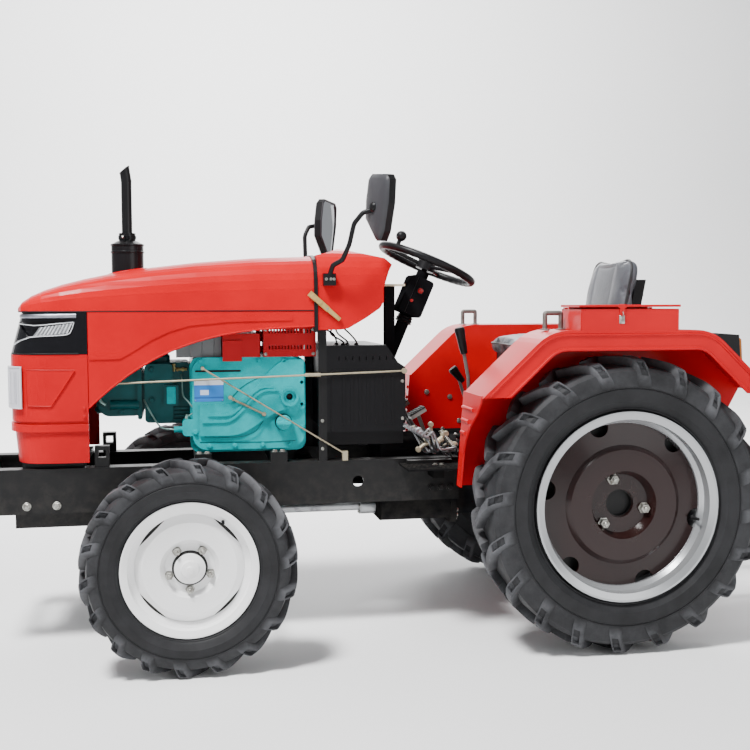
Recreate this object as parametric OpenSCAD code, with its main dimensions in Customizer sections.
// Compact farm tractor with four driven wheels and a single-cylinder horizontal engine.
// X runs forward, Y to the left and Z up; the origin is on the ground, under the middle.

/* [Overall] */
// Distance between the two axles
wheelbase = 1475; // [1400:5:1600]
// Track of the front wheels
front_track = 1086; // [1060:2:1200]
// Track of the rear wheels
rear_track = 1140; // [1130:2:1240]
// From the front axle to the front plate of the frame
front_overhang = 715; // [690:5:800]
// From the rear axle to the ends of the lower links
rear_reach = 850; // [820:5:900]

/* [Tyres and rims] */
// Front tyre radius over the lugs
front_tyre_r = 354; // [340:1:370]
// Front tyre section width
front_tyre_w = 166; // [150:1:176]
// Front rim flange radius
front_rim_r = 222; // [218:1:226]
// Rear tyre radius over the lugs
rear_tyre_r = 515; // [500:1:530]
// Rear tyre section width
rear_tyre_w = 214; // [205:1:225]
// Rear rim flange radius
rear_rim_r = 328; // [322:1:334]
// Height of the front lugs
front_lug = 24; // [18:1:28]
// Lugs in one row of a front tyre
front_lugs = 18; // [14:1:22]
// Height of the rear lugs
rear_lug = 30; // [22:1:36]
// Lugs in one row of a rear tyre
rear_lugs = 20; // [16:1:24]
// Radius of the front spindle and of the hub bore
spindle_r = 25; // [20:0.5:30]
// Radius of the rear axle shaft
axle_shaft_r = 35; // [30:0.5:40]

/* [Frame] */
// Outer face of a rail from the centre plane
rail_y = 230; // [222:1:234]
// Underside of the rails over the ground
rail_z = 484; // [478:1:500]
// Height of a rail channel
rail_h = 157; // [140:1:160]
// Width of a rail flange
rail_flange = 60; // [45:1:64]
// Wall of the rail channel
rail_t = 8; // [6:0.5:10]
// Height of the engine bearers on the rails
bearer_h = 36; // [24:1:50]

/* [Front axle] */
// Steering pivot from the centre plane
king_y = 430; // [424:1:440]
// Height of the axle beam over the wheel centre
portal_drop = 76; // [72:1:80]
// Radius of the beam tube
beam_r = 42; // [36:1:44]
// Radius of the pivot pins of the knuckles
kingpin_r = 18; // [14:0.5:22]
// Length of the steering arms
steer_arm_l = 200; // [190:1:220]
// Radius of the tie rod pins
tie_pin_r = 10; // [8:0.5:12]

/* [Hood and nose] */
// From the front axle to the rear edge of the nose mask
nose_root = 335; // [320:1:350]
// Length of the nose mask
nose_l = 274; // [260:1:285]
// Half width of hood and nose
hood_w = 250; // [240:1:256]
// Length of the hood
hood_l = 1033; // [1020:1:1060]
// Height of the seam between hood and side panels
seam_z = 1187; // [1180:1:1195]
// Rise of the hood over the seam at its rear end
hood_rise = 199; // [180:1:215]
// Sheet thickness of the panels
sheet = 4; // [3:0.5:5]
// Width of the rubber seal behind the hood
seal_w = 14; // [10:1:18]
// Length of the dash cowl
cowl_l = 240; // [225:1:255]

/* [Engine] */
// Length of the crankcase
engine_l = 417; // [400:1:430]
// Height of the crankcase
engine_h = 343; // [330:1:350]
// Half width of the crankcase
engine_w = 170; // [160:1:172]
// Depth of the timing cover on the left
cover_t = 30; // [22:1:30]
// Length of the cylinder and its head
head_l = 324; // [300:1:335]
// Radius of the muffler can
muffler_r = 58; // [50:1:60]
// Radius of the tail pipe
tailpipe_r = 19; // [16:0.5:22]

/* [Controls] */
// Radius of the steering wheel to the rim's middle
wheel_r = 186; // [170:1:195]
// Tilt of the steering wheel
wheel_tilt = 23; // [18:0.5:28]
// Radius of the steering shaft
steer_shaft_r = 11; // [9:0.5:14]
// Radius of the steering column tube
column_r = 24; // [20:1:28]

/* [Fenders and seat] */
// Top of the fenders over the ground
fender_top = 1118; // [1110:1:1135]
// Inner wall of a fender from the centre plane
fender_in = 440; // [432:1:444]
// Outer edge of a fender from the centre plane
fender_out = 682; // [670:1:700]
// Slope of the fender ends
fender_slope = 43.4; // [41:0.2:46]
// Depth of the fender skirt
skirt_d = 68; // [55:1:75]
// Length of the tool box
box_l = 349; // [320:1:370]
// Height of the tool box
box_h = 72; // [60:1:85]
// Width of the tool box
box_w = 180; // [160:1:190]
// Radius of the tool box hinge pin
hinge_r = 4; // [3:0.5:5]

/* [Rear hitch] */
// Radius of the power take-off shaft
pto_r = 17.5; // [15:0.5:20]
// Radius of the holes at the lower link ends
link_hole_r = 11.2; // [10:0.1:12.5]
// Radius of the top link hole
top_hole_r = 9.7; // [9:0.1:10.5]
// Radius of the drawbar hole
drawbar_hole_r = 13; // [11:0.5:16]
// Radius of the rockshaft
rock_r = 25; // [20:0.5:28]
// Radius of the linkage pins
link_pin_r = 9; // [7:0.5:11]
// Length of the lift arms
lift_arm_l = 270; // [255:1:285]
// Radius of the holes in the front plate
front_hole_r = 9; // [7:0.5:11]

/* [Hidden] */
$fn = 48;
fit = 0.05;
seat_gap = 0.3;
overall_l = rear_reach + wheelbase + front_overhang;
rear_x = rear_reach - overall_l / 2;
front_x = rear_x + wheelbase;
frame_front = front_x + front_overhang;
plate_t = 12;
rail_rear = rear_x + 482;
rail_top = rail_z + rail_h;
beam_z = front_tyre_r + portal_drop;
nose_x = front_x + nose_root;
hood_nose = nose_l - 29;
hood_rear = nose_x + hood_nose - hood_l;
cowl_front = hood_rear - seal_w;
cowl_rear = cowl_front - cowl_l;
console_front = cowl_front - 33;
console_rear = console_front - 291;
engine_rear = hood_rear + 24;
engine_front = engine_rear + engine_l;
engine_z = rail_top + bearer_h;
engine_top = engine_z + engine_h;
cowl_z = seam_z - 70;
crown = seam_z + hood_rise;
wheel_x = console_rear - 134;
wheel_z = crown - 24;
gear_top = rear_tyre_r + 185;
lift_top = gear_top + 150;
rock_x = rear_x - 150;
rock_z = lift_top - 60;
bell_front = console_front - 215;
lever_x = rear_x + 200 + (console_rear - rear_x - 200) * 0.413;
link_y = 190;
link_z = rear_tyre_r - 115;
link_l = rear_reach - 150 - 28;
boss_h = 2 * beam_r + 8;

module both_sides() {
  children();
  mirror([0, 1, 0]) children();
}
// Cylinder along Y from y0, on the axis at x and z
module bar_y(x, y0, z, r, l) translate([x, y0, z]) rotate([-90, 0, 0]) cylinder(r = r, h = l);
// Cylinder along X from x0, on the axis at y and z
module bar_x(x0, y, z, r, l) translate([x0, y, z]) rotate([0, 90, 0]) cylinder(r = r, h = l);
// Upright cylinder from z0
module bar_z(x, y, z0, r, l) translate([x, y, z0]) cylinder(r = r, h = l);
// Bent lever stretch between two points
module limb(a, b, r) hull() {
  translate(a) sphere(r = r, $fn = 16);
  translate(b) sphere(r = r, $fn = 16);
}
// Round bar with ball ends
module rod(a, b, r) {
  d = b - a;
  translate(a) rotate([0, acos(d.z / norm(d)), atan2(d.y, d.x)]) cylinder(r = r, h = norm(d));
  translate(a) sphere(r = r + 0.6);
  translate(b) sphere(r = r + 0.6);
}
// Outline in X and Z, as a plate from y0 with thickness t
module slab(y0, t) translate([0, y0 + t, 0]) rotate([90, 0, 0]) linear_extrude(t) children();
// Outline in Y and Z, as a plate from x0 with thickness t
module plate_x(x0, t) translate([x0, 0, 0]) rotate([90, 0, 90]) linear_extrude(t) children();
// Box between two corners
module block(a, b) translate(a) cube(b - a);

// Rectangle with round corners
function rrect(x0, x1, z0, z1, r, n = 6) = [
  for (c = [[x1 - r, z1 - r, 0], [x0 + r, z1 - r, 90], [x0 + r, z0 + r, 180], [x1 - r, z0 + r, 270]])
    for (i = [0 : n]) [c[0] + r * cos(c[2] + 90 * i / n), c[1] + r * sin(c[2] + 90 * i / n)]];
// Half of a squared-off ellipse from +w over the top to -w
function arch(w, z0, h, n = 4, k = 20) = [
  for (i = [0 : k]) let (t = 180 * i / k)
    [w * sign(cos(t)) * pow(abs(cos(t)), 2 / n), z0 + h * pow(sin(t), 2 / n)]];
function back(p) = [for (i = [len(p) - 1 : -1 : 0]) p[i]];
// Outline of a line of points drawn with a width
function across(p, i) = let (d = p[min(i + 1, len(p) - 1)] - p[max(i - 1, 0)]) [-d.y, d.x] / norm(d);
function ribbon(p, w) = concat([for (i = [0 : len(p) - 1]) p[i] + across(p, i) * w / 2],
  [for (i = [len(p) - 1 : -1 : 0]) p[i] - across(p, i) * w / 2]);
// Line that runs back from x0, then swings up by h
function swing(x0, z0, l, h, n = 14) = [for (i = [0 : n])
  let (u = i / n, v = min(max((u - 0.3) / 0.55, 0), 1)) [x0 - l * u, z0 + h * v * v * (3 - 2 * v)]];

module rail() {
  difference() {
    block([rail_rear, rail_y - rail_flange, rail_z], [frame_front - plate_t, rail_y, rail_top]);
    block([rail_rear - 1, rail_y - rail_flange - 1, rail_z + rail_t],
      [frame_front, rail_y - rail_t, rail_top - rail_t]);
    bar_y(rear_x + 862, rail_y - 20, rail_z + rail_h / 2, 20, 40);
  }
}
module rails() color("#222326") both_sides() rail();

module frame_crossmembers() color("#222326") {
  difference() {
    block([frame_front - plate_t, -rail_y, rail_z], [frame_front, rail_y, rail_top]);
    for (y = [-150, 150]) for (z = [-45, 45])
      bar_x(frame_front - 20, y, rail_z + rail_h / 2 + z, front_hole_r, 40);
  }
  for (x = [front_x + 430, console_front + 10]) {
    block([x, rail_t - rail_y, rail_z + 20], [x + 60, rail_y - rail_t, rail_z + 120]);
  }
  for (x = [engine_rear + 74, engine_front - 73]) {
    block([x, -rail_y, rail_top], [x + 60, rail_y, engine_z]);
  }
  block([nose_x + 20, -200, rail_top], [nose_x + 230, 200, rail_top + 21]);
  both_sides() difference() {
    block([nose_x - 65, 186, rail_top], [nose_x - 15, 222, rail_top + 74]);
    block([nose_x - 53, 180, rail_top + 34], [nose_x - 27, 230, rail_top + 60]);
  }
}

module hanger(x) {
  plate_x(x, 30) polygon([[-rail_y, rail_z], [-rail_y, rail_z - 25], [-70, beam_z - 55],
    [70, beam_z - 55], [rail_y, rail_z - 25], [rail_y, rail_z]]);
}
module axle_cradle() color("#1d1e21") difference() {
  union() {
    hanger(front_x + 90);
    hanger(front_x - 120);
    difference() {
      block([front_x + 110, -180, rail_z - 57], [front_x + 596, 180, rail_z]);
      block([front_x + 121, -170, rail_z - 47], [front_x + 586, 170, rail_z + 1]);
    }
  }
  bar_x(front_x - 130, 0, beam_z, 25 + seat_gap, 270);
}

module front_axle() color("#2a2c30") difference() {
  union() {
    bar_y(front_x, -king_y, beam_z, beam_r, 2 * king_y);
    translate([front_x, 0, beam_z]) sphere(r = 86);
    bar_x(front_x - 122, 0, beam_z, 25, 244);
    both_sides() bar_y(front_x, 80, beam_z, 60, 60);
    both_sides() bar_z(front_x, king_y, beam_z - boss_h / 2, 50, boss_h);
  }
  both_sides() bar_z(front_x, king_y, beam_z - 60, kingpin_r + fit, 120);
}

module knuckle() {
  z = front_tyre_r;
  bar_z(front_x, king_y, z - 54, 56, portal_drop - boss_h / 2 + 54 - seat_gap);
  bar_y(front_x, king_y, z, portal_drop - boss_h / 2 - 2, front_track / 2 - 48 - king_y);
  bar_y(front_x, king_y, z, spindle_r, front_track / 2 + 15 - king_y);
  bar_z(front_x, king_y, z, kingpin_r, portal_drop + boss_h / 2 + 10);
  bar_z(front_x, king_y, beam_z + boss_h / 2 + seat_gap, 34, 15);
  block([front_x - steer_arm_l, king_y - 20, z - 48], [front_x, king_y + 20, z - 24]);
  bar_z(front_x - steer_arm_l, king_y, z - 48, 24, 24);
  bar_z(front_x - steer_arm_l, king_y, z - 24, tie_pin_r, 42);
}
module knuckle_left() color("#2a2c30") knuckle();
module knuckle_right() color("#2a2c30") mirror([0, 1, 0]) knuckle();

module tie_rod() color("#55585c") difference() {
  union() {
    bar_y(front_x - steer_arm_l, -king_y, front_tyre_r, 11, 2 * king_y);
    both_sides() bar_z(front_x - steer_arm_l, king_y, front_tyre_r - 14, 20, 28);
  }
  bar_z(front_x - steer_arm_l, king_y, front_tyre_r - 40, tie_pin_r + fit, 80);
  bar_z(front_x - steer_arm_l, -king_y, front_tyre_r - 40, tie_pin_r + seat_gap, 80);
}

// Turned profile of radius and side offset, about an axle along Y
module turned() rotate([-90, 0, 0]) rotate_extrude($fn = 72) children();

module rim_front() {
  r = front_rim_r;
  difference() {
    union() {
      turned() polygon([[r, -66], [r, -60], [r - 17, -55], [r - 19, -32], [r - 38, -22], [r - 38, 22],
        [r - 19, 32], [r - 17, 55], [r, 60], [r, 66], [r - 6, 66], [r - 23, 59], [r - 25, 36], [r - 44, 26],
        [r - 44, -26], [r - 25, -36], [r - 23, -59], [r - 6, -66]]);
      difference() {
        turned() polygon([[spindle_r + 20, 14], [84, 14], [100, 30], [150, 34], [r - 41, 12],
          [r - 41, 20], [152, 42], [96, 38], [80, 22], [spindle_r + 20, 22]]);
        for (a = [45 : 90 : 315]) rotate([0, a, 0]) block([r - 51, 0, -70], [r - 44.5, 60, 70]);
      }
      turned() polygon([[0, -45], [60, -45], [60, 14], [56, 22], [52, 34], [30, 44], [0, 44]]);
      for (i = [0 : 4]) rotate([0, 72 * i + 18, 0]) translate([70, 0, 0]) {
        rotate([-90, 0, 0]) translate([0, 0, 20]) cylinder(r = 11, h = 18, $fn = 6);
      }
    }
    turned() polygon([[0, -50], [spindle_r + fit, -50], [spindle_r + fit, 18], [0, 18]]);
  }
}
// Tyre section: bead, side wall, shoulder and tread at radius t
function tyre_half(r, t, w, bead) = [[r - 17, bead - 5.2], [r + 1, bead], [r + 22, w - 9], [r + 62, w],
  [t - 34, w - 3], [t - 9, w - 15], [t, w - 30]];
function tyre_section(r, t, w, bead) = let (h = tyre_half(r, t, w, bead))
  concat(h, [for (p = back(h)) [p.x, -p.y]]);
// Plan of a lug: it leaves the middle of the tread and swings back towards the shoulder
function lug_plan(w, sweep, bar) = [[sweep - bar / 2, -12], [sweep + bar / 2, -12],
  [bar / 2 - 0.1 * sweep, 0.55 * w], [0.7 * bar - sweep, w + 5], [-0.7 * bar - sweep, w + 5],
  [-bar / 2 - 0.1 * sweep, 0.55 * w]];
// Tyre with two rows of lugs, half a step apart, cut to the outer section
module tyre(r, t, w, bead, lug, n, sweep, bar) {
  turned() polygon(tyre_section(r, t - lug, w - 3, bead));
  intersection() {
    turned() polygon(tyre_section(r, t, w, bead));
    for (row = [0, 1]) mirror([0, row, 0]) for (i = [0 : n - 1]) rotate([0, 360 * (i + row / 2) / n, 0])
      translate([0, 0, t - 3 * lug]) linear_extrude(4 * lug) polygon(lug_plan(w, sweep, bar));
  }
}
module tyre_front() tyre(front_rim_r, front_tyre_r, front_tyre_w / 2, 59.4, front_lug, front_lugs, 46, 30);
module rim_rear() {
  r = rear_rim_r;
  turned() polygon([[r, -98], [r, -91], [r - 21, -86], [r - 23, -50], [r - 36, -36], [r - 36, 36],
    [r - 23, 50], [r - 21, 86], [r, 91], [r, 98], [r - 7, 98], [r - 28, 91], [r - 30, 55], [r - 43, 41],
    [r - 43, -41], [r - 30, -55], [r - 28, -91], [r - 7, -98]]);
  difference() {
    turned() polygon([[50, 8], [106, 8], [122, 46], [190, 46], [206, 32], [r - 40, 24],
      [r - 40, 34], [208, 42], [192, 56], [118, 56], [102, 18], [50, 18]]);
    for (i = [0 : 5]) rotate([0, 60 * i + 48, 0]) translate([r - 46, 0, 0]) {
      rotate([-90, 0, 0]) cylinder(r = 34, h = 70);
    }
  }
  difference() {
    turned() polygon([[0, -40], [75, -40], [75, 8], [0, 8]]);
    turned() polygon([[0, -8], [46, -8], [46, 9], [0, 9]]);
  }
  turned() polygon([[0, -105], [axle_shaft_r, -105], [axle_shaft_r, -38], [0, -38]]);
  for (i = [0 : 2]) rotate([0, 120 * i + 48, 0]) translate([90, 0, 0]) {
    rotate([-90, 0, 0]) translate([0, 0, 6]) cylinder(r = 14, h = 34, $fn = 6);
  }
}
module tyre_rear() tyre(rear_rim_r, rear_tyre_r, rear_tyre_w / 2, 90.4, rear_lug, rear_lugs, 60, 36);
module at_front_wheel() translate([front_x, front_track / 2, front_tyre_r]) children();
module at_rear_wheel() translate([rear_x, rear_track / 2, rear_tyre_r]) children();

module rim_front_left() color("#e9e9e6") at_front_wheel() rim_front();
module rim_front_right() color("#e9e9e6") mirror([0, 1, 0]) at_front_wheel() rim_front();
module tyre_front_left() color("#232323") at_front_wheel() tyre_front();
module tyre_front_right() color("#232323") mirror([0, 1, 0]) at_front_wheel() tyre_front();
module rim_rear_left() color("#b9bcbf") at_rear_wheel() rim_rear();
module rim_rear_right() color("#b9bcbf") mirror([0, 1, 0]) at_rear_wheel() rim_rear();
module tyre_rear_left() color("#232323") at_rear_wheel() tyre_rear();
module tyre_rear_right() color("#232323") mirror([0, 1, 0]) at_rear_wheel() tyre_rear();

module engine_block() color("#2fa7a0") difference() {
  x = engine_rear;
  z = engine_z;
  y = engine_w + cover_t;
  union() {
    slab(-engine_w, 2 * engine_w) polygon(rrect(x, engine_front, z, engine_top, 34));
    slab(engine_w - 1, cover_t - 7) polygon(rrect(x + 6, engine_front - 8, z + 10, engine_top, 52));
    slab(y - 9, 9) polygon(concat(swing(engine_front - 33, z + 61, engine_l - 40, 92),
      back(swing(engine_front - 34, z + 175, engine_l - 43, 158))));
    slab(y - 1, 6) polygon(ribbon(swing(engine_front - 62, z + 137, 234, 98), 9));
    slab(y - 1, 6) polygon(ribbon(swing(engine_front - 41, z + 113, 273, 111), 9));
    bar_y(x + 62, engine_w, z + 198, 33, cover_t + 14);
    bar_y(x + 85, engine_w, z + 106, 24, cover_t + 20);
    bar_y(x + 200, -rail_y, z + 173, 60, 80);
    slab(engine_w - 40, 62) polygon(rrect(engine_front - 40, engine_front + 28, z + 62, z + 122, 14));
    bar_x(engine_front + 28, engine_w - 6, z + 84, 11, 30);
  }
  bar_y(x + 62, y + 4, z + 198, 23, 20);
  bar_y(x + 62, y - 16, z + 198, 12, 40);
}
module cylinder_head() color("#1e6f70") {
  x = engine_front;
  z = engine_z;
  slab(-110, 220) polygon(rrect(x, x + 120, z + 101, engine_top - 20, 12));
  slab(-130, 260) polygon(rrect(x + 60, x + 160, z + 106, engine_top - 24, 16));
  slab(-105, 210) polygon(rrect(x + 158, x + head_l, z + 130, engine_top - 40, 40));
  slab(-118, 236) polygon(rrect(x + 170, x + 186, z + 118, engine_top - 42, 7));
  slab(100, 46) polygon(rrect(x + 40, x + 92, z + 168, z + 243, 8));
  bar_x(x + head_l - 5, 0, z + 190, 58, 17);
  bar_x(x + 180, 108, z + 172, 17, 102);
  for (k = [0 : 3]) block([x + 4, 106, z + 112 + 14 * k], [x + 58, 122, z + 118 + 14 * k]);
}
module radiator() color("#8b9094") {
  block([engine_front - 113, -engine_w, engine_top], [engine_front + 47, engine_w, engine_top + 130]);
}
module engine_covers() color("#a81c1a") {
  block([engine_rear + 167, -150, engine_top], [engine_front - 117, 196, engine_top + 84]);
  block([engine_rear + 232, 193, engine_top - 14], [engine_front - 117, 203, engine_top + 60]);
  difference() {
    block([engine_rear - 36, -196, engine_top], [engine_rear + 154, 196, engine_top + 108]);
    block([engine_rear - 40, -192, engine_top - 1], [engine_rear + 160, 192, engine_top + 104]);
    for (z = [26, 84]) for (i = [0 : 13]) {
      block([engine_rear - 20 + 11.5 * i, -200, engine_top + z],
        [engine_rear - 15 + 11.5 * i, 200, engine_top + z + 15]);
    }
  }
}
module muffler() color("#1b1b1c") {
  x = engine_front + head_l - 107;
  z = crown - 180;
  bend = crown + 275;
  bar_z(x, 0, engine_top - 40, 40, 12);
  bar_z(x, 0, engine_top - 40, 24, z - engine_top + 50);
  bar_z(x, 0, z, muffler_r, 225);
  translate([x, 0, z + 225]) cylinder(r1 = muffler_r, r2 = 34, h = 12);
  bar_z(x, 0, z + 235, 30, 30);
  bar_z(x, 0, z + 260, tailpipe_r, bend - z - 260);
  translate([x, 0, bend]) sphere(r = tailpipe_r + 0.6);
  translate([x, 0, bend]) rotate([0, 8, 0]) difference() {
    cylinder(r = tailpipe_r, h = 66);
    translate([0, 0, 26]) cylinder(r = tailpipe_r - 3, h = 80);
    translate([-40, -40, 66]) rotate([0, 32, 0]) block([-40, 0, 0], [80, 80, 60]);
  }
}
module belt_guard() color("#202124") hull() {
  bar_y(engine_rear + 200, -rail_y - 62, engine_z + 173, 200, 62, $fn = 32);
  bar_y(cowl_front - 158, -rail_y - 62, rail_top, 125, 62, $fn = 32);
}

function hood_x(s) = hood_rear + s * hood_l;
function nose_y(x, l, n = 4.5) =
  let (u = (x - nose_x) / l) u <= 0 ? hood_w : hood_w * pow(max(1 - pow(u, n), 0.001), 1 / n);
function hood_h(s) = hood_rise * pow(1 - pow(s, 1.63), 0.5);
hood_s = [0, 0.2, 0.4, 0.55, 0.7, 0.78, 0.85, 0.91, 0.95, 0.98, 0.995];
// Sheet loft of open sections: outer skin, inner skin and the edges between them
function skin(n, m, o, f) = [for (i = [0 : n - 2]) for (j = [0 : m - 2])
  let (a = o + i * m + j, b = a + 1, c = a + m + 1, d = a + m)
  each (f ? [[a, c, b], [a, d, c]] : [[a, b, c], [a, c, d]])];
function edge_j(n, m, j, f) = [for (i = [0 : n - 2])
  let (a = i * m + j, b = a + m, c = b + n * m, d = a + n * m)
  each (f ? [[a, b, c], [a, c, d]] : [[a, c, b], [a, d, c]])];
function edge_i(n, m, i, f) = [for (j = [0 : m - 2])
  let (a = i * m + j, b = a + 1, c = b + n * m, d = a + n * m)
  each (f ? [[a, c, b], [a, d, c]] : [[a, b, c], [a, c, d]])];
module sheet_loft(outer, inner) {
  n = len(outer);
  m = len(outer[0]);
  polyhedron([for (s = outer) each s, for (s = inner) each s],
    concat(skin(n, m, 0, false), skin(n, m, n * m, true), edge_j(n, m, 0, false),
      edge_j(n, m, m - 1, true), edge_i(n, m, 0, false), edge_i(n, m, n - 1, true)));
}
module hood_top() color("#d3201f") difference() {
  union() {
    sheet_loft(
      [for (s = hood_s) [for (p = arch(nose_y(hood_x(s), hood_nose + 1), seam_z, hood_h(s)))
        [hood_x(s), p[0], p[1]]]],
      [for (s = hood_s) [for (p = arch(nose_y(hood_x(s), hood_nose + 1) - sheet, seam_z, hood_h(s) - sheet))
        [hood_x(s), p[0], p[1]]]]);
  }
  bar_z(engine_front + head_l - 107, 0, seam_z, muffler_r + 10, 300);
}

function panel_z(u) = 852 - 1187 + seam_z + 279 * (1 - 0.9 * pow(u, 3) - 0.1 * u);
panel_l = nose_x - 2 - hood_rear;
panel_low = [for (i = [0 : 14]) let (u = i / 14) [hood_rear + u * panel_l, panel_z(u)]];
// Pressed crease of a side panel: share of the panel's length, drop below the seam
crease = [[0.998, 157], [0.865, 156], [0.8, 125], [0.73, 91], [0.65, 62], [0.56, 42], [0.38, 29], [0.1, 25]];
module side_panels() color("#d3201f") both_sides() {
  slab(hood_w - sheet, sheet) polygon(concat(panel_low, [[nose_x - 2, seam_z], [hood_rear, seam_z]]));
  slab(hood_w - 1, 4) polygon(ribbon([for (c = crease) [hood_rear + c[0] * panel_l, seam_z - c[1]]], 20));
}

// Plan of the nose: a squared-off half ellipse, as a band of given thickness
function nose_plan(l, w, n = 4.5, k = 28) = [for (i = [0 : k]) let (t = 180 * i / k)
  [nose_x + l * pow(sin(t), 2 / n), w * sign(cos(t)) * pow(abs(cos(t)), 2 / n)]];
function nose_band(l, w, t) = concat(nose_plan(l, w), back(nose_plan(l - t, w - t)));
// Band whose reach changes from bottom to top
module nose_wall(z0, z1, l0, l1, w, t) {
  a = nose_band(l0, w, t);
  b = nose_band(l1, w, t);
  n = len(a);
  polyhedron([for (p = a) [p.x, p.y, z0], for (p = b) [p.x, p.y, z1]],
    [for (i = [0 : n - 1]) let (j = (i + 1) % n) each [[i, n + j, n + i], [i, j, n + j]],
      for (i = [0 : n / 2 - 2]) let (j = n - 1 - i)
        each [[i, j, j - 1], [i, j - 1, i + 1], [n + i, n + j - 1, n + j], [n + i, n + i + 1, n + j - 1]]]);
}
mask_z = seam_z - 351;
lens_z = seam_z - 149;
module nose_mask() color("#b71c1b") {
  translate([0, 0, mask_z]) linear_extrude(lens_z - mask_z) polygon(nose_band(nose_l, hood_w, sheet));
  intersection() {
    translate([0, 0, mask_z]) linear_extrude(lens_z - mask_z) polygon(nose_band(nose_l + 3, hood_w + 3, 5));
    slab(-300, 600) polygon([[nose_x + 208, lens_z - 51], [nose_x + 43, lens_z - 53],
      [nose_x + 124, mask_z + 25], [nose_x + 204, mask_z + 27]]);
  }
}
module nose_skirt() color("#ad1b1a") {
  nose_wall(rail_top + 21, mask_z - 62, nose_l - 20, nose_l - 9, hood_w - 4, sheet);
  translate([0, 0, mask_z - 64]) linear_extrude(26) polygon(nose_band(nose_l + 3, hood_w + 3, sheet + 8));
  translate([0, 0, mask_z - 40]) linear_extrude(14) polygon(nose_band(nose_l - 5, hood_w - 5, sheet));
  translate([0, 0, mask_z - 28]) linear_extrude(28) polygon(nose_band(nose_l, hood_w, sheet + 5));
}
module lens_cut(y0, y1) block([nose_x - 10, y0, lens_z - 5], [nose_x + 400, y1, seam_z + 5]);
module lens_wall(out, t) nose_wall(lens_z, seam_z, nose_l + out, nose_l + out - 42, hood_w + out, t);
module headlights() color("#17181a") difference() {
  intersection() {
    lens_wall(0, 12);
    union() {
      lens_cut(110, 300);
      lens_cut(-300, -110);
    }
  }
  intersection() {
    lens_wall(2, 9);
    slab(-300, 600) polygon([[nose_x + 196, lens_z + 62], [nose_x + 240, lens_z + 112],
      [nose_x + 64, lens_z + 119], [nose_x + 64, lens_z + 100], [nose_x + 108, lens_z + 82]]);
  }
}
module grille() color("#1a1b1c") difference() {
  intersection() {
    lens_wall(0, 12);
    lens_cut(-110, 110);
  }
  for (z = [16 : 30 : 130]) block([nose_x + 100, -96, lens_z + z], [nose_x + 400, 96, lens_z + z + 15]);
}
module marker_lamps() color("#f3f3f0") both_sides() intersection() {
  translate([0, 0, mask_z + 16]) linear_extrude(146) polygon(nose_band(nose_l + 8, hood_w + 8, 8));
  block([nose_x + 222, 140, mask_z], [nose_x + 400, 300, lens_z]);
}

module hood_seal() color("#141414") plate_x(cowl_front, seal_w) {
  out = hood_w + 4;
  in = hood_w - 20;
  low = cowl_z - 8;
  polygon(concat([[out, low]], arch(out, seam_z, hood_rise + 5), [[-out, low], [-in, low]],
    back(arch(in, seam_z, hood_rise - 20)), [[in, low]]));
}
module cowl_section() plate_x(cowl_rear - 60, cowl_l + 60) {
  polygon(concat([[hood_w, cowl_z - 1]], arch(hood_w, seam_z, hood_rise + 30), [[-hood_w, cowl_z - 1]]));
}
module cowl() color("#d3201f") intersection() {
  cowl_section();
  slab(-300, 600) polygon([[cowl_front, cowl_z], [cowl_front, crown], [cowl_front - 50, crown + 12],
    [cowl_front - 90, crown + 27], [cowl_front - 150, crown + 12], [cowl_rear - 10, crown - 10],
    [cowl_rear - 34, crown - 34], [cowl_rear - 20, crown - 60], [cowl_rear, seam_z + 80],
    [cowl_rear, seam_z + 31], [cowl_rear + 14, seam_z + 7], [cowl_rear + 67, seam_z - 29],
    [cowl_rear + 130, cowl_z + 5], [cowl_rear + 160, cowl_z]]);
}
module cowl_posts() color("#1d1e20") both_sides() {
  block([console_front, 198, rail_top], [cowl_front - 3, 228, cowl_z]);
}
// Mirror on a bent arm: points of the arm and middle of the head from its foot, and the head's turn
module mirror_on(arm, head, turn) {
  x = cowl_front - 40;
  z = seam_z + 131;
  difference() {
    block([x - 22, hood_w - 20, z - 43], [x + 22, hood_w + 26, z]);
    cowl_section();
  }
  for (i = [0 : len(arm) - 2]) rod([x, hood_w, z] + arm[i], [x, hood_w, z] + arm[i + 1], 7);
  translate([x, hood_w, z] + head) rotate([0, 0, turn]) rotate([0, 8, 0]) {
    slab(-12, 24) polygon([[-62, 96], [-46, 112], [54, 116], [70, 100], [74, 20], [60, -80], [42, -114],
      [14, -116], [-64, -46], [-70, 20]]);
  }
}
module mirrors() color("#18191a") {
  mirror_on([[0, 14, -10], [-8, 44, 28], [-40, 62, 46], [-62, 78, 100], [-78, 84, 172], [-108, 92, 210],
    [-150, 102, 222]], [-166, 106, 228], 112);
  mirror([0, 1, 0]) mirror_on([[0, 14, -10], [10, 44, 40], [18, 60, 90], [18, 74, 170], [0, 84, 208],
    [-52, 96, 218]], [-70, 100, 204], 124);
}
function console_line(low) = [[console_front, low], [console_front, cowl_z - 57],
  [console_rear + 72, cowl_z - 57], [console_rear + 27, cowl_z - 121], [console_rear, cowl_z - 139],
  [console_rear, low]];
module console() color("#1e1f21") difference() {
  x = console_rear;
  z = cowl_z - 372;
  union() {
    slab(-228, 456) polygon(console_line(z));
    // the right side lies against the belt guard and stays flat
    slab(227, 4) polygon(rrect(x + 1, console_front - 16, z, cowl_z - 146, 14));
    for (i = [0 : 6]) {
      block([x + 44 + 30 * i, 227, z + 26], [x + 54 + 30 * i, 233, cowl_z - 176]);
    }
  }
  both_sides() for (i = [0 : 8]) {
    block([x + 44 + 25 * i, 222, cowl_z - 112], [x + 48 + 25 * i, 240, cowl_z - 98]);
  }
}

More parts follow.
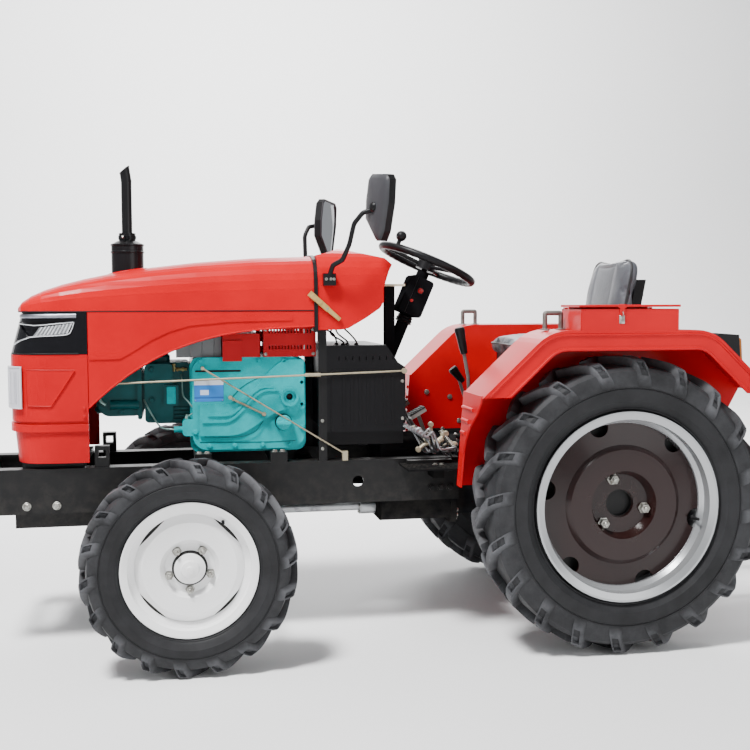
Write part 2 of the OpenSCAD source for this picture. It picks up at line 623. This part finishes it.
module at_wheel() translate([wheel_x, 0, wheel_z]) rotate([0, -wheel_tilt, 0]) children();
module console_shape() slab(-300, 600) polygon(console_line(0));
module steering_column() color("#19191b") difference() {
  union() {
    at_wheel() difference() {
      union() {
        translate([0, 0, -450]) cylinder(r = column_r, h = 420);
        slab(-55, 110) polygon(rrect(-46, 46, -210, -60, 14));
      }
      translate([0, 0, -80]) cylinder(r = steer_shaft_r + fit, h = 100);
    }
    block([console_rear + 14, 62, cowl_z - 130], [console_rear + 50, 102, cowl_z + 159]);
    block([console_rear - 24, 52, cowl_z + 159], [console_rear + 76, 112, cowl_z + 167]);
  }
  console_shape();
}
module steering_wheel() color("#121213") at_wheel() {
  rotate_extrude($fn = 72) translate([wheel_r, 0]) circle(r = 14, $fn = 24);
  translate([0, 0, -24]) cylinder(r = 36, h = 34);
  translate([0, 0, -75]) cylinder(r = steer_shaft_r, h = 60);
  for (a = [0, 120, 240]) rotate([0, 0, a]) rod([20, 0, -8], [wheel_r, 0, 0], 8);
  rod([wheel_r * cos(35), wheel_r * sin(35), 0], [wheel_r * cos(35), wheel_r * sin(35), 40], 8);
  translate([wheel_r * cos(35), wheel_r * sin(35), 45]) sphere(r = 20);
}

module gearbox() color("#26282b") {
  x = rear_x;
  b = rear_tyre_r - 145;
  plate_x(x + 480, bell_front - x - 480) polygon(rrect(-150, 150, b + 20, gear_top, 40));
  plate_x(x + 190, 300) polygon(rrect(-125, 125, b + 30, gear_top, 40));
  plate_x(x - 130, 330) polygon(rrect(-150, 150, b, gear_top, 30));
  plate_x(x + 470, 24) polygon(rrect(-164, 164, b + 6, gear_top + 8, 40));
  both_sides() block([x + 500, 140, rail_z + 21], [x + 600, rail_y - rail_t, rail_top - 21]);
  bar_x(x - 150, 0, b + 110, 55, 40);
  both_sides() bar_y(rock_x, 140, link_z, 30, 30);
  both_sides() bar_y(rock_x, 140, link_z, 12, 66);
}
module rear_axle() color("#26282b") both_sides() difference() {
  union() {
    bar_y(rear_x, 150, rear_tyre_r, 78, 60);
    bar_y(rear_x, 150, rear_tyre_r, 58, rear_track / 2 - 45 - 150);
    bar_y(rear_x, rear_track / 2 - 70, rear_tyre_r, 80, 25);
    block([rear_x - 60, fender_in - 12, rear_tyre_r], [rear_x + 60, fender_in, rear_tyre_r + 285]);
  }
  bar_y(rear_x, rear_track / 2 - 115, rear_tyre_r, axle_shaft_r + fit, 100);
}
module drive_shaft() color("#55585c") {
  bar_x(bell_front, 0, beam_z, 20, front_x - 122 - seat_gap - bell_front);
  bar_x(bell_front, 0, beam_z, 34, 60);
  bar_x(front_x - 190, 0, beam_z, 32, 60);
}

module lever(a, b, c, k) {
  bar_z(a.x, a.y, gear_top, 20, 26);
  limb([a.x, a.y, gear_top + 14], b, 7);
  limb(b, c, 7);
  limb(c, k, 14);
}
module pedal(y, s) {
  x = console_rear - 84;
  bar_z(x - 20, y, gear_top, 18, 20);
  limb([x - 20, y, gear_top + 12], [x + 24, y + s * 60, gear_top + 96], 8);
  translate([x + 24, y + s * 60, gear_top + 96]) rotate([0, 30, 0]) block([-32, -30, 0], [32, 30, 14]);
}
module controls() color("#1b1b1c") {
  x = lever_x;
  lever([x, 95, 0], [x + 24, 150, gear_top + 229], [x + 46, 150, gear_top + 350],
    [x + 57, 150, gear_top + 404]);
  lever([x - 70, -95, 0], [x - 28, -140, gear_top + 170], [x - 16, -145, gear_top + 216],
    [x, -145, gear_top + 236]);
  pedal(110, 1);
  pedal(-60, -1);
  pedal(-120, -1);
}
module control_rods() color("#b5b0a2") {
  throttle = [[engine_front + 253, 238, engine_top - 85], [console_rear + 6, 238, cowl_z - 152]];
  brake = [[engine_front - 45, 226, engine_top - 37], [console_front - 65, 234, rail_top + 24]];
  slope = (throttle[1].z - throttle[0].z) / (throttle[1].x - throttle[0].x);
  rod(throttle[0], throttle[1], 3.5);
  bar_x(console_front + 24, 238, throttle[0].z + slope * (console_front + 52 - throttle[0].x), 7, 56);
  bar_y(throttle[0].x, 105, throttle[0].z, 7, 138);
  bar_y(throttle[1].x, 231, throttle[1].z, 10, 12);
  rod(brake[0], brake[1], 3);
  bar_y(brake[0].x, engine_w + cover_t - 8, brake[0].z, 6, 42);
  block([brake[1].x - 10, 218, rail_top], [brake[1].x + 10, 237, rail_top + 34]);
}
module footboards() color("#1f2022") both_sides() {
  block([rear_x + 478, rail_y + 6, rail_top - 22], [rear_x + 710, 400, rail_top - 16]);
  block([rear_x + 560, rail_y, rail_top - 62], [rear_x + 600, rail_y + 90, rail_top - 21]);
}

fs = sin(fender_slope);
fc = cos(fender_slope);
fk = fs * 501 + fc * (fender_top - 200);
fr = 150;
fz = fender_top - fr;
fx = (fk - fr - fc * fz) / fs;
skirt_z = fender_top - 220;
function slope_x(z, d) = (fk - d - fc * z) / fs;
function slope_z(x) = (fk - fs * x) / fc;
// Fender line in X and Z, moved inward by d and cut at height zb
function fender_line(d, zb) = let (q = [for (i = [0 : 5]) let (t = 90 - fender_slope + fender_slope * i / 5)
  [fx + (fr - d) * cos(t), fz + (fr - d) * sin(t)]])
  [for (p = concat([[slope_x(zb, d), zb]], q, [for (p = back(q)) [-p.x, p.y]], [[-slope_x(zb, d), zb]]))
    [rear_x + p.x, p.y]];
function fender_band(d0, d1, zb) = concat(fender_line(d0, zb), back(fender_line(d1, zb)));
module fender() {
  slab(fender_in, fender_out - fender_in) polygon(fender_band(0, sheet, skirt_z));
  slab(fender_out - sheet - 4, sheet) polygon(fender_band(0, skirt_d, skirt_z));
  slab(fender_out - 6, 6) polygon(fender_band(0, 9, skirt_z));
  slab(fender_out - 6, 6) polygon(fender_band(skirt_d - 12, skirt_d, skirt_z));
  slab(fender_in, sheet) polygon(concat(fender_line(0, skirt_z), [[rear_x - 380, 640],
    [rear_x + 430, 640], [rear_x + 475, 572], [rear_x + 545, 572]]));
  intersection() {
    slab(fender_in, 230) polygon([[rear_x + 516, 904], [rear_x + 522, 904], [rear_x + 546, 572],
      [rear_x + 540, 572]]);
    plate_x(rear_x + 400, 300) polygon([[fender_in, 904], [fender_in + 225, 904], [fender_in + 218, 880],
      [fender_in + 180, 840], [fender_in + 110, 790], [fender_in + 70, 740], [fender_in + 55, 690],
      [fender_in + 50, 572], [fender_in, 572]]);
  }
}
// Embossed rib across the front plate of a fender
module plate_rib(z, l) bar_y(rear_x + 522 + (904 - z) * 0.0723, fender_in + 14, z, 7, l);
module fenders() color("#d3201f") both_sides() {
  fender();
  plate_rib(850, 130);
  plate_rib(806, 84);
  plate_rib(762, 46);
}

box_x = rear_x + 185 - box_l;
box_y = fender_out - 2 - box_w;
box_z = fender_top + box_h;
module toolbox() color("#c41e1d") {
  difference() {
    block([box_x, box_y, fender_top], [box_x + box_l, box_y + box_w, box_z]);
    block([box_x + 3, box_y + 3, fender_top + 3], [box_x + box_l - 3, box_y + box_w - 3, box_z + 1]);
  }
  for (x = [box_x + 12, box_x + box_l - 22]) {
    block([x, box_y - 18, box_z - 18], [x + 10, box_y + 1, box_z + 5]);
  }
  bar_x(box_x + 12, box_y - 10, box_z - 4, hinge_r, box_l - 24);
}
module toolbox_lid() color("#c41e1d") difference() {
  union() {
    bar_x(box_x + 28, box_y - 10, box_z - 4, 8, box_l - 56);
    block([box_x + 28, box_y - 16, box_z - 4], [box_x + box_l - 28, box_y - 4, box_z + 8]);
    block([box_x + 28, box_y - 14, box_z + 6], [box_x + box_l - 28, box_y + 10, box_z + 14]);
    block([box_x - 6, box_y + 6, box_z + 6], [box_x + box_l + 6, box_y + box_w + 2, box_z + 14]);
  }
  bar_x(box_x, box_y - 10, box_z - 4, hinge_r + fit, box_l);
}
grab_y = fender_out - 146;
module grab_handles() color("#8f9396") both_sides() {
  for (x = [rear_x + 202, rear_x + 259]) {
    bar_z(x, grab_y, fender_top, 6.5, 58);
    translate([x, grab_y, fender_top + 58]) sphere(r = 6.5);
  }
  bar_x(rear_x + 202, grab_y, fender_top + 58, 6.5, 57);
}
module rear_lamps() color("#151515") both_sides() slab(fender_out - 177, 110) polygon([
  [rear_x - 335, slope_z(335) + seat_gap], [rear_x - 345, fender_top - 14],
  [rear_x - 424, fender_top - 20], [rear_x - 432, slope_z(432) + seat_gap]]);

module seat_deck() color("#b71c1b") {
  block([rear_x - 100, -fender_in, lift_top], [rear_x + 260, fender_in, lift_top + 6]);
}
seat_z = lift_top + 160;
module seat_frame() color("#1a1a1b") {
  x = rear_x;
  difference() {
    block([x - 95, -150, lift_top + 6], [x + 220, 150, seat_z]);
    block([x - 80, -151, lift_top + 30], [x + 200, 151, seat_z - 20]);
  }
  both_sides() block([x - 225, 130, seat_z - 22], [x - 90, 160, seat_z]);
  both_sides() slab(130, 30) polygon([[x - 186, seat_z - 22], [x - 225, seat_z - 22],
    [x - 285, seat_z + 290], [x - 244.4, seat_z + 290]]);
}
module seat_cushion() color("#2b2d31") {
  slab(-220, 440) polygon(rrect(rear_x - 130, rear_x + 270, seat_z, seat_z + 88, 30));
}
module seat_back() color("#2b2d31") slab(-215, 430) polygon([[rear_x - 140, seat_z + 94],
  [rear_x - 205, seat_z + 94], [rear_x - 244, seat_z + 290], [rear_x - 259, seat_z + 365],
  [rear_x - 250, seat_z + 385], [rear_x - 225, seat_z + 390], [rear_x - 200, seat_z + 375]]);

module lift_housing() color("#26282b") difference() {
  union() {
    plate_x(rear_x - 190, 390) polygon(rrect(-140, 140, gear_top, lift_top, 24));
    both_sides() slab(22, 18) polygon(rrect(rear_x - 262, rear_x - 170, gear_top + 20, gear_top + 90, 20));
  }
  bar_y(rock_x, -200, rock_z, rock_r + fit, 400);
  bar_y(rear_x - 236, -60, gear_top + 55, top_hole_r, 120);
}
module lift_arms() color("#8d1816") {
  bar_y(rock_x, -200, rock_z, rock_r, 400);
  both_sides() {
    bar_y(rock_x, link_y - 10, rock_z, 40, 20);
    bar_y(rock_x - lift_arm_l, link_y - 10, rock_z, 22, 20);
    slab(link_y - 10, 20) polygon([[rock_x, rock_z + 38], [rock_x - lift_arm_l, rock_z + 21],
      [rock_x - lift_arm_l, rock_z - 21], [rock_x, rock_z - 38]]);
    bar_y(rock_x - lift_arm_l, link_y, rock_z, link_pin_r, 36);
  }
}
module lift_rods() color("#55585c") both_sides() difference() {
  union() {
    bar_y(rock_x - lift_arm_l, link_y + 12, rock_z, 20, 20);
    bar_y(rock_x - lift_arm_l, link_y + 12, link_z, 20, 20);
    bar_z(rock_x - lift_arm_l, link_y + 22, link_z, 8.5, rock_z - link_z);
  }
  bar_y(rock_x - lift_arm_l, link_y, rock_z, link_pin_r + fit, 60);
  bar_y(rock_x - lift_arm_l, link_y, link_z, link_pin_r + seat_gap, 60);
}
module lower_links() color("#1f2022") both_sides() difference() {
  union() {
    bar_y(rock_x, link_y - 10, link_z, 30, 20);
    bar_y(rock_x - link_l, link_y - 16, link_z, 28, 32);
    block([rock_x - link_l, link_y - 10, link_z - 22], [rock_x, link_y + 10, link_z + 22]);
    bar_y(rock_x - lift_arm_l, link_y, link_z, link_pin_r, 36);
  }
  bar_y(rock_x, link_y - 40, link_z, 12 + fit, 80);
  bar_y(rock_x - link_l, link_y - 40, link_z, link_hole_r, 80);
}
module drawbar() color("#26282b") difference() {
  block([rear_x - 400, -32, rear_tyre_r - 171], [rear_x + 60, 32, rear_tyre_r - 145]);
  bar_z(rear_x - 362, 0, rear_tyre_r - 200, drawbar_hole_r, 80);
}
module pto_shaft() color("#a9acaf") {
  bar_x(rear_x - 235, 0, rear_tyre_r - 35, pto_r, 85);
}

rails();
frame_crossmembers();
axle_cradle();
front_axle();
knuckle_left();
knuckle_right();
tie_rod();
rim_front_left();
tyre_front_left();
rim_front_right();
tyre_front_right();
rim_rear_left();
tyre_rear_left();
rim_rear_right();
tyre_rear_right();
engine_block();
cylinder_head();
radiator();
engine_covers();
muffler();
belt_guard();
hood_top();
side_panels();
nose_mask();
nose_skirt();
headlights();
marker_lamps();
grille();
hood_seal();
cowl();
cowl_posts();
mirrors();
console();
steering_column();
steering_wheel();
gearbox();
rear_axle();
drive_shaft();
controls();
control_rods();
footboards();
fenders();
toolbox();
toolbox_lid();
grab_handles();
rear_lamps();
seat_deck();
seat_frame();
seat_cushion();
seat_back();
lift_housing();
lift_arms();
lift_rods();
lower_links();
drawbar();
pto_shaft();
